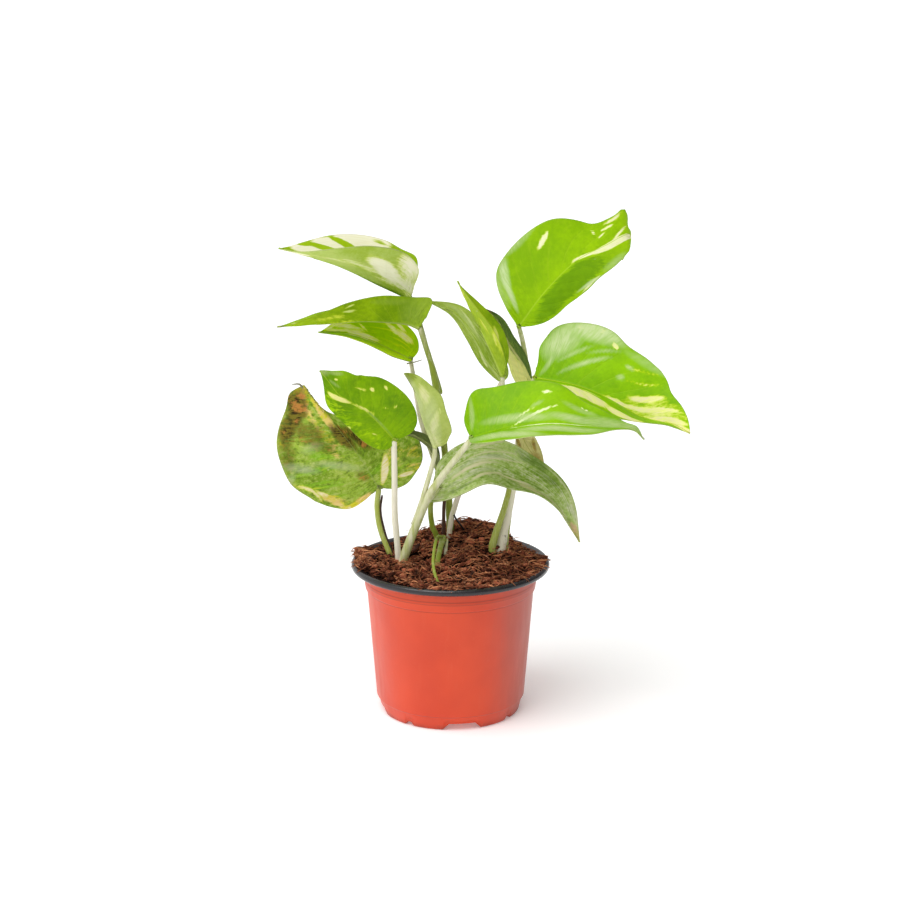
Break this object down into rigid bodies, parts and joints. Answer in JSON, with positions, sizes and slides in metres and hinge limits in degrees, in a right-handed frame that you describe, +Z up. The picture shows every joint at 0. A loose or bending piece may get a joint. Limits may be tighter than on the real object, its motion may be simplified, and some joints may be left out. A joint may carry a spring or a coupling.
{
  "type": "potted pothos plant",
  "caption": "Leafy pothos plant of three rooted cuttings, standing in soil in a terracotta-coloured plastic nursery pot.",
  "frame": {"origin": "centre of the pot's underside, on the table", "axes": "+Z up, -Y towards the front of the plant, +X to the front's right"},
  "size_m": [0.242, 0.1204, 0.302],
  "materials": {
    "pot_plastic": "satin terracotta, dark grey inside and on the rim",
    "soil": "matt, coarse fibres and crumbs",
    "leaf_green": "glossy, cream flecks and midrib",
    "leaf_cream": "glossy, cream and green streaks",
    "leaf_streaked": "glossy, yellow and green streaks",
    "leaf_pale": "satin, pale underside",
    "leaf_old": "satin, yellow and brown patches",
    "leaf_dark": "satin, dark grey-green",
    "leaf_grey_green": "satin, grey-green with cream stripes",
    "leaf_withered": "matt, dry",
    "stalk_pale": "satin, cream to pale green",
    "stalk_olive": "satin, olive green, dry brown sheaths",
    "root": "matt"
  },
  "bodies": {
    "root": {"pot": "pot_plastic", "soil": "soil", "blade_top_left": "leaf_cream", "blade_left_underside": "leaf_green", "blade_left_streaked": "leaf_streaked", "blade_left_round": "leaf_green", "blade_old": "leaf_old", "blade_pale": "leaf_pale", "blade_arched": "leaf_green", "blade_spike": "leaf_green", "blade_thread_tip": "leaf_dark", "blade_centre_wide": "leaf_green", "blade_right": "leaf_green", "blade_upper_right": "leaf_green", "blade_drooping": "leaf_grey_green", "blade_dark_arched": "leaf_dark", "blade_withered": "leaf_withered", "stalks_left": "stalk_pale", "stalks_centre": "stalk_olive", "stalks_right": "stalk_pale", "shoots": "stalk_olive", "root_dark": "root"}
  },
  "joints": []
}
